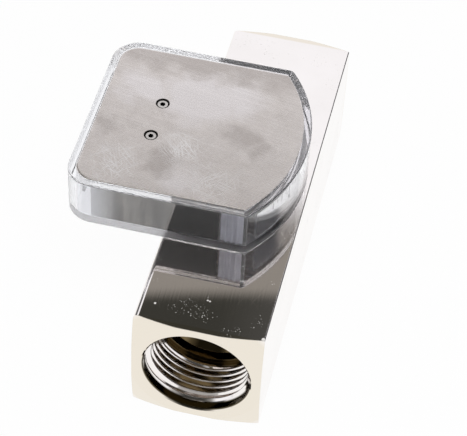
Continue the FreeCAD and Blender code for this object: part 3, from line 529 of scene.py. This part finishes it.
def nickelPlate():
    material, tree, shader = newMaterial("nickelPlate")
    place = objectPlace(tree)
    milled = useGroup(tree, grain, **nickel["grain"])["Value"]
    scratched = useGroup(tree, scratches, **nickel["scratches"])["Mask"]
    dusty = useGroup(tree, specks, **nickel["specks"])["Mask"]
    rounded = useGroup(tree, edges, Radius=nickel["edgeRadius"])
    cloudy = clouds(tree, place, **nickel["clouds"])
    plated = blendColours(tree, cloudy, nickel["plating"], nickel["dull"])
    fromMiddle = calc(tree, "ABSOLUTE", splitPlace(tree, place)["Y"])
    # painted shade and reflection: the end faces take the warmer, darker colour
    plated = blendColours(tree, spread(tree, fromMiddle, *nickel["turnedFrom"]), plated, nickel["turned"])
    plated, inside = shadeBore(tree, place, plated)
    flecks = softSpots(tree, place, nickel["flecks"], nickel["fleckBlur"], barTop)
    dusty = highest(tree, [calc(tree, "SUBTRACT", dusty, inside), flecks])
    tree.links.new(blendColours(tree, dusty, plated, nickel["speck"]), shader["Base Color"])
    rough = spread(tree, milled, *nickel["grainLimits"], *nickel["roughness"])
    rough = calc(tree, "ADD", rough, calc(tree, "MULTIPLY", scratched, nickel["scratchRough"]))
    rough = calc(tree, "ADD", rough, calc(tree, "MULTIPLY", rounded["Edge"], nickel["edgeRough"]))
    dustRough = calc(tree, "MULTIPLY", dusty, nickel["speckRough"])
    boreRough = calc(tree, "MULTIPLY", inside, nickel["boreRough"])
    tree.links.new(highest(tree, [rough, dustRough, boreRough]), shader["Roughness"])
    covered = calc(tree, "MULTIPLY", dusty, nickel["speckCover"])
    tree.links.new(calc(tree, "SUBTRACT", 1.0, covered), shader["Metallic"])
    relief = calc(tree, "SUBTRACT", milled, calc(tree, "MULTIPLY", scratched, nickel["scratchDepth"]))
    addBump(tree, shader, relief, nickel["bump"], Normal=rounded["Normal"])
    return material


cover = {
    "steel": (0.805, 0.75, 0.715, 1),
    # the colour of the painted highlights on the plate's top
    "bright": (0.92, 0.875, 0.87, 1),
    "stain": (0.57, 0.52, 0.49, 1),
    "scratch": (0.97, 0.95, 0.94, 1),
    # near black painted shade in and round the screws
    "grime": (0.02, 0.018, 0.015, 1),
    "grain": {"Fineness": 2600.0, "Stretch": 60.0, "Turn": math.radians(80)},
    "scratches": {"Density": 2600.0, "Stretch": 28.0, "Cut": 0.60},
    "warp": {"scale": 130.0, "amount": 0.014},
    "mottle": {"scale": 130.0, "detail": 4.0, "rough": 0.6},
    "mottleShare": 0.45,
    # painted highlights: brighter patches at the listed spots on the plate's top
    "brightSpots": [(-20, 13, 11), (-38, 13, 7), (-8, 16, 8), (-18, -24, 5)],
    "brightBlur": 3.0,
    "brightShare": 0.75,
    "stainSpots": [(-2, -1, 5), (3, -5, 3), (-24, -17, 6), (-44, -8, 4)],
    "stainBlur": 2.0,
    "stainShare": 0.8,
    # a painted reflection darkens the plate along its far edge, in the stain colour
    "farStain": (0.0215, 0.0265),
    "scuffSpots": [(-19, -10, 6), (-5, -22, 8), (-38, -22, 6)],
    "scuffBlur": 3.0,
    "scuffShare": (0.12, 0.75),  # outside and inside the spots
    "grimeRing": (0.00228, 0.00215),
    "grimeRough": 0.4,
    # the folded flange's steel: a painted shade, much darker than the top of the same plate
    "flange": (0.195, 0.182, 0.160, 1),
    "flangeTop": (0.0550, 0.0545),
    "flangeRough": 0.45,
    # painted light: the flange's left end is lighter
    "flangeEnd": (0.48, 0.48, 0.48, 1),
    "flangeEndReach": (-0.0335, -0.0415),
    "flangeStreak": (0.072, 0.065, 0.055, 1),
    "streaks": {"scale": 330.0, "limits": (0.35, 0.65), "rough": 0.6},
    "streakStretch": (1, 1, 0.1),
    "edgeRadius": 0.0002,
    "roughness": (0.22, 0.32),
    "scratchDepth": 0.6,
    "bump": (0.012, 0.0002),
}


def screwDistance(tree, along):
    low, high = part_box("cover_screws")
    reach = (high.x - low.x) / 2
    centre = ((low.x + high.x) / 2, high.y - reach, 0)
    mirrored = {"X": along["X"], "Y": calc(tree, "ABSOLUTE", along["Y"])}
    return distanceFrom(tree, addNode(tree, "CombineXYZ", mirrored).outputs[0], centre)


def wornSteel(tree, place, scratched):
    warped = warpedPlace(tree, place, **cover["warp"])
    mottle = calc(tree, "MULTIPLY", clouds(tree, warped, **cover["mottle"]), cover["mottleShare"])
    steel = blendColours(tree, mottle, cover["steel"], cover["stain"])
    # painted highlights: the plate is brighter at the listed spots
    lit = softSpots(tree, warped, cover["brightSpots"], cover["brightBlur"], plateTop)
    steel = blendColours(tree, calc(tree, "MULTIPLY", lit, cover["brightShare"]), steel, cover["bright"])
    stainedAndShaded = softSpots(tree, warped, cover["stainSpots"], cover["stainBlur"], plateTop)
    # the band along the far edge is a painted reflection, darker; the listed spots are stains
    farEdgeShade = spread(tree, splitPlace(tree, warped)["Y"], *cover["farStain"])
    stainedAndShaded = calc(tree, "MULTIPLY", highest(tree, [stainedAndShaded, farEdgeShade]), cover["stainShare"])
    steel = blendColours(tree, stainedAndShaded, steel, cover["stain"])
    scuffed = softSpots(tree, warped, cover["scuffSpots"], cover["scuffBlur"], plateTop)
    scuffed = calc(tree, "MULTIPLY", scratched, spread(tree, scuffed, 0.0, 1.0, *cover["scuffShare"]))
    return blendColours(tree, scuffed, steel, cover["scratch"]), scuffed


def streakedFlange(tree, place):
    upright = addNode(tree, "Mapping", {"Vector": place, "Scale": cover["streakStretch"]}).outputs["Vector"]
    streaks = clouds(tree, upright, **cover["streaks"])
    # painted shade: the flange's steel is much darker than the top of the same plate
    flange = blendColours(tree, streaks, cover["flange"], cover["flangeStreak"])
    # painted light: lighter towards the flange's left end
    atEnd = spread(tree, splitPlace(tree, place)["X"], *cover["flangeEndReach"])
    return blendColours(tree, atEnd, flange, cover["flangeEnd"])


def brushedCover():
    material, tree, shader = newMaterial("brushedCover")
    place = objectPlace(tree)
    along = splitPlace(tree, place)
    brushed = useGroup(tree, grain, **cover["grain"])["Value"]
    scratched = useGroup(tree, scratches, **cover["scratches"])["Mask"]
    rounded = useGroup(tree, edges, Radius=cover["edgeRadius"])
    steel, scuffed = wornSteel(tree, place, scratched)
    folded = spread(tree, along["Z"], *cover["flangeTop"])
    steel = blendColours(tree, folded, steel, streakedFlange(tree, place))
    # painted shade: near black on the plate round each screw head, down in its hole
    inPaintedShade = spread(tree, screwDistance(tree, along), *cover["grimeRing"])
    inPaintedShade = calc(tree, "SUBTRACT", inPaintedShade, folded)
    tree.links.new(blendColours(tree, inPaintedShade, steel, cover["grime"]), shader["Base Color"])
    rough = spread(tree, brushed, *grainLimits, *cover["roughness"])
    rough = addNode(tree, "Mix", {"Factor": folded, "A": rough, "B": cover["flangeRough"]}).outputs["Result"]
    rough = calc(tree, "ADD", rough, calc(tree, "MULTIPLY", inPaintedShade, cover["grimeRough"]))
    tree.links.new(rough, shader["Roughness"])
    shader["Metallic"].default_value = 1.0
    relief = calc(tree, "SUBTRACT", brushed, calc(tree, "MULTIPLY", scuffed, cover["scratchDepth"]))
    addBump(tree, shader, relief, cover["bump"], Normal=rounded["Normal"])
    return material


# Lathe lines of the screws and the plain metals
lathe = {"grain": {"Fineness": 3200.0, "Stretch": 50.0}, "bump": (0.05, 0.0001)}
screwHead = {
    "steel": (0.78, 0.75, 0.72, 1),
    "worn": (0.66, 0.63, 0.60, 1),
    "wornScale": 400.0,
    "socketRadius": (0.00097, 0.00090),
    "socketDepth": (0.00003, 0.0001),
    "rimRadius": (0.00160, 0.00167),
    "rimDepth": (0.0012, 0.0010),
    "roughness": (0.20, 0.32),
    "grimeRough": 0.4,
}


def screwSteel():
    material, tree, shader = newMaterial("screwSteel")
    place = objectPlace(tree)
    along = splitPlace(tree, place)
    turned = useGroup(tree, grain, **lathe["grain"])["Value"]
    depth = calc(tree, "SUBTRACT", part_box("cover_screws")[1].z, along["Z"])
    fromAxis = screwDistance(tree, along)
    # painted shade: near black in the socket and on the lower outer side of the head
    socket = spread(tree, fromAxis, *screwHead["socketRadius"])
    socket = calc(tree, "MULTIPLY", socket, spread(tree, depth, *screwHead["socketDepth"]))
    rim = spread(tree, fromAxis, *screwHead["rimRadius"])
    rim = calc(tree, "MULTIPLY", rim, spread(tree, depth, *screwHead["rimDepth"]))
    inPaintedShade = highest(tree, [socket, rim])
    worn = clouds(tree, place, screwHead["wornScale"])
    steel = blendColours(tree, worn, screwHead["steel"], screwHead["worn"])
    tree.links.new(blendColours(tree, inPaintedShade, steel, cover["grime"]), shader["Base Color"])
    rough = spread(tree, turned, *grainLimits, *screwHead["roughness"])
    rough = calc(tree, "ADD", rough, calc(tree, "MULTIPLY", inPaintedShade, screwHead["grimeRough"]))
    tree.links.new(rough, shader["Roughness"])
    shader["Metallic"].default_value = 1.0
    addBump(tree, shader, turned, lathe["bump"])
    return material


# The case is polished, and its underside is frosted inside a polished edge
clear = {
    "tint": (0.972, 0.976, 1.0, 1),
    "index": 1.49,
    "clarity": 0.96,
    "scratches": {"Density": 900.0, "Amount": 0.6},
    "roughness": (0.012, 0.03),
    "frosted": 0.75,
    "polishedEdge": (0.0011, 0.0013),
    "frostedBelow": (0.00020, 0.00015),  # above the bar's top face
}


# how far a point lies inside the outline of the case
def insideCase(tree, along):
    low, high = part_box("indicator_case")
    level = addNode(tree, "CombineXYZ", {"X": along["X"], "Y": along["Y"]}).outputs[0]
    reach = distanceFrom(tree, level, (pivot.x, pivot.y, 0))
    arc = calc(tree, "SUBTRACT", high.x - pivot.x, reach)
    side = calc(tree, "SUBTRACT", high.y, calc(tree, "ABSOLUTE", along["Y"]))
    end = calc(tree, "SUBTRACT", along["X"], low.x)
    return calc(tree, "MINIMUM", arc, calc(tree, "MINIMUM", side, end))


def clearPlastic():
    material, tree, shader = newMaterial("clearPlastic")
    along = splitPlace(tree, objectPlace(tree))
    scratched = useGroup(tree, scratches, **clear["scratches"])["Mask"]
    shader["Base Color"].default_value = clear["tint"]
    shader["Transmission Weight"].default_value = clear["clarity"]
    shader["IOR"].default_value = clear["index"]
    rough = spread(tree, scratched, 0.0, 1.0, *clear["roughness"])
    frosted = spread(tree, along["Z"], *(barTop + gap for gap in clear["frostedBelow"]))
    inner = spread(tree, insideCase(tree, along), *clear["polishedEdge"])
    frosted = calc(tree, "MULTIPLY", frosted, inner)
    frosted = calc(tree, "MULTIPLY", frosted, clear["frosted"])
    tree.links.new(highest(tree, [rough, frosted]), shader["Roughness"])
    return material


# Metals with no marks of their own: colour, its darker clouds and roughness
metalClouds = {"scale": 180.0}
plainMetals = {
    # turned_brass is darkened well below brass: a painted shade, as its parts sit deep inside the bore
    "turned_brass": ((0.40, 0.30, 0.15, 1), (0.30, 0.21, 0.10, 1), (0.28, 0.42)),
    "spring_steel": ((0.55, 0.55, 0.56, 1), (0.44, 0.44, 0.45, 1), (0.18, 0.32)),
    "band_steel": ((0.90, 0.89, 0.87, 1), (0.84, 0.83, 0.80, 1), (0.05, 0.12)),
}


def plainMetal(name, colour, darker, roughness):
    material, tree, shader = newMaterial(name)
    turned = useGroup(tree, grain, **lathe["grain"])["Value"]
    cloudy = clouds(tree, objectPlace(tree), **metalClouds)
    tree.links.new(blendColours(tree, cloudy, colour, darker), shader["Base Color"])
    tree.links.new(spread(tree, turned, *grainLimits, *roughness), shader["Roughness"])
    shader["Metallic"].default_value = 1.0
    addBump(tree, shader, turned, lathe["bump"])
    return material


# Solids that are neither metal nor clear: colour, its darker clouds, roughness and the scale of the grain
matt = {"clouds": {"scale": 220.0}, "grain": {"detail": 4.0, "rough": 0.6}, "bump": (0.1, 0.0001)}
mattSolids = {
    "magnet_ferrite": ((0.07, 0.07, 0.075, 1), (0.05, 0.05, 0.05, 1), (0.6, 0.8), 3000.0),
    "seal_rubber": ((0.03, 0.03, 0.03, 1), (0.02, 0.02, 0.02, 1), (0.45, 0.6), 2500.0),
    "post_plastic": ((0.68, 0.68, 0.74, 1), (0.58, 0.58, 0.63, 1), (0.35, 0.5), 1800.0),
    "bush_plastic": ((0.86, 0.86, 0.84, 1), (0.78, 0.78, 0.75, 1), (0.4, 0.55), 2000.0),
    "jewel_stone": ((0.55, 0.08, 0.12, 1), (0.40, 0.04, 0.08, 1), (0.05, 0.12), 1500.0),
    "pointer_paint": ((0.04, 0.04, 0.045, 1), (0.03, 0.03, 0.03, 1), (0.45, 0.6), 4000.0),
}


def mattSolid(name, colour, darker, roughness, grainScale):
    material, tree, shader = newMaterial(name)
    place = objectPlace(tree)
    fine = noise(tree, place, grainScale, **matt["grain"])
    cloudy = clouds(tree, place, **matt["clouds"])
    tree.links.new(blendColours(tree, cloudy, colour, darker), shader["Base Color"])
    tree.links.new(spread(tree, fine, *grainLimits, *roughness), shader["Roughness"])
    addBump(tree, shader, fine, matt["bump"])
    return material


def slotName(slot):
    first, second = slot.split("_")
    return first + second.capitalize()


finishes = {
    "nickel_plate": nickelPlate(),
    "plate_steel": brushedCover(),
    "clear_plastic": clearPlastic(),
    "screw_steel": screwSteel(),
}
for slot, values in plainMetals.items():
    finishes[slot] = plainMetal(slotName(slot), *values)
for slot, values in mattSolids.items():
    finishes[slot] = mattSolid(slotName(slot), *values)
for subpart in record["subparts"]:
    nodes[subpart["node"]].material_slots[0].material = finishes[subpart["material_slot"]]
print("finishes: given to every node")

# Pipe threads: one ridge wound round the flow axis in each port
thread = {
    "pitch": 2.309 * mm,
    "rootRadius": 16.62 * mm,
    "crestRadius": 15.145 * mm,
    "crestWidth": 0.55 * mm,
    "crestRound": 0.16 * mm,
    "crestSegments": 3,
    "sunk": 0.12 * mm,
    "mouthLand": 2.8 * mm,
    "length": 17.4 * mm,
    "stepsPerTurn": 96,
    "smoothDegrees": 10,
}


def cutThread(name, turnDegrees):
    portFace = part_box("meter_body")[1].y
    outer = thread["rootRadius"] + thread["sunk"]
    depth = outer - thread["crestRadius"]
    bpy.ops.mesh.primitive_plane_add(size=1, location=(outer - depth / 2, 0, 0))
    ridge = nameNew(name)
    ridge.scale = (depth, thread["pitch"], 1)
    bakePlace(ridge)
    selectWhere(ridge, lambda place: place.x < thread["rootRadius"])
    bpy.ops.transform.resize(value=(1, thread["crestWidth"] / thread["pitch"], 1))
    bpy.ops.mesh.bevel(offset=thread["crestRound"], segments=thread["crestSegments"], affect="VERTICES")
    bpy.ops.mesh.select_all(action="SELECT")
    bpy.ops.mesh.delete(type="ONLY_FACE")
    bpy.ops.object.mode_set(mode="OBJECT")
    turns = math.ceil((thread["length"] - thread["mouthLand"]) / thread["pitch"]) + 1
    applyModifier(
        ridge, "SCREW", axis="Y", angle=2 * math.pi, screw_offset=-thread["pitch"], iterations=turns,
        steps=thread["stepsPerTurn"], render_steps=thread["stepsPerTurn"], use_smooth_shade=True,
    )
    closeEnds(ridge)
    # the mouth's countersink and the relief at the inner end cut the crest back at 45 degrees
    for vertex in ridge.data.vertices:
        radius = math.hypot(vertex.co.x, vertex.co.z)
        depthIn = thread["mouthLand"] - vertex.co.y
        rise = min(depthIn - thread["mouthLand"], thread["length"] - depthIn)
        least = outer - max(0.0, rise)
        if radius < least:
            vertex.co.x *= least / radius
            vertex.co.z *= least / radius
    ridge.location = (0, portFace - thread["mouthLand"], 0)
    bakePlace(ridge)
    ridge.rotation_euler.z = math.radians(turnDegrees)
    ridge.location.z = flowHeight
    bakePlace(ridge)
    bpy.ops.object.shade_smooth_by_angle(angle=math.radians(thread["smoothDegrees"]))
    ridge.data.materials.append(finishes["nickel_plate"])
    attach(ridge, "meter_frame")


cutThread("inlet_thread", 0)
cutThread("outlet_thread", 180)
print("threads: cut in both ports")

# Return spring: a smooth coil in place of the straight-sided one
coil = {
    "meanRadius": 5.5 * mm,
    "wire": 0.8 * mm,
    "wireSides": 14,
    "turns": 7.5,
    "stepsPerTurn": 40,
    "solidLength": 9.0 * mm,
    "smoothDegrees": 40,
}


def windSpring():
    low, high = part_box("return_spring")
    axisHeight = (low.z + high.z) / 2
    length = high.y - low.y
    wireRadius = coil["wire"] / 2
    start = (coil["meanRadius"], wireRadius, 0)
    bpy.ops.mesh.primitive_circle_add(vertices=coil["wireSides"], radius=wireRadius, location=start)
    spring = nameNew("spring_coil")
    bakePlace(spring)
    steps = int(coil["turns"] * coil["stepsPerTurn"])
    applyModifier(
        spring, "SCREW", axis="Y", angle=2 * math.pi * coil["turns"], screw_offset=length - coil["wire"],
        iterations=1, steps=steps, render_steps=steps, use_smooth_shade=True,
    )
    closeEnds(spring)
    spring.location = (0, low.y, axisHeight)
    bakePlace(spring)
    bpy.ops.object.shade_smooth_by_angle(angle=math.radians(coil["smoothDegrees"]))
    spring.data.materials.append(finishes["spring_steel"])
    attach(spring, "meter_frame")
    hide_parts("return_spring")
    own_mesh(spring)


windSpring()
print("spring: wound")

# Dial: a tick for each half unit and a numeral for every second unit, on the band behind the arc
dial = {
    "units": 10,
    "ticksPerUnit": 2,
    "unitsPerNumeral": 2,
    "tickWidth": 0.25 * mm,
    "longTick": 2.6 * mm,
    "shortTick": 1.5 * mm,
    "topGap": 0.5 * mm,
    "numeralHeight": 2.6 * mm,
    "numeralGap": 0.5 * mm,
    "height": 0.03 * mm,
    "edge": 0.008 * mm,
    "edgeSegments": 2,
}


def addTick(length):
    bpy.ops.mesh.primitive_plane_add(size=1)
    tick = nameNew("tick")
    tick.scale = (dial["tickWidth"], length, 1)
    bakePlace(tick)
    return tick


def addNumeral(unit):
    bpy.ops.object.text_add()
    numeral = nameNew("numeral")
    numeral.data.body = str(unit)
    numeral.data.size = dial["numeralHeight"]
    numeral.data.align_x = "CENTER"
    numeral.data.align_y = "TOP"
    pickOnly(numeral)
    bpy.ops.object.convert(target="MESH")
    return numeral


def placeOnBand(mark, radius, degrees, level):
    turn = math.radians(degrees)
    mark.rotation_euler = (math.radians(90), 0, math.radians(90 + degrees))
    mark.location = (pivot.x + radius * math.cos(turn), pivot.y + radius * math.sin(turn), level)
    bakePlace(mark)


def drawMarks():
    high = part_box("scale_band")[1]
    radius = high.x - pivot.x
    sweep = swing["range_deg"][1]
    steps = dial["units"] * dial["ticksPerUnit"]
    numeralTop = high.z - (dial["topGap"] + dial["longTick"] + dial["numeralGap"])
    marks = []
    for step in range(steps + 1):
        degrees = sweep / 2 - sweep * step / steps
        unit, part = divmod(step, dial["ticksPerUnit"])
        length = dial["shortTick"] if part else dial["longTick"]
        tick = addTick(length)
        placeOnBand(tick, radius, degrees, high.z - dial["topGap"] - length / 2)
        marks.append(tick)
        if part == 0 and unit % dial["unitsPerNumeral"] == 0:
            numeral = addNumeral(unit)
            placeOnBand(numeral, radius, degrees, numeralTop)
            marks.append(numeral)
    return marks


def markScale():
    marks = drawMarks()
    bpy.ops.object.select_all(action="DESELECT")
    for mark in marks:
        mark.select_set(True)
    bpy.context.view_layer.objects.active = marks[0]
    bpy.ops.object.join()
    piece = nameNew("scale_marks")
    applyModifier(piece, "SOLIDIFY", thickness=dial["height"], offset=1.0)
    applyModifier(piece, "BEVEL", width=dial["edge"], segments=dial["edgeSegments"])
    piece.data.materials.clear()
    piece.data.materials.append(finishes["pointer_paint"])
    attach(piece, "meter_frame")


markScale()
print("scale: marked")
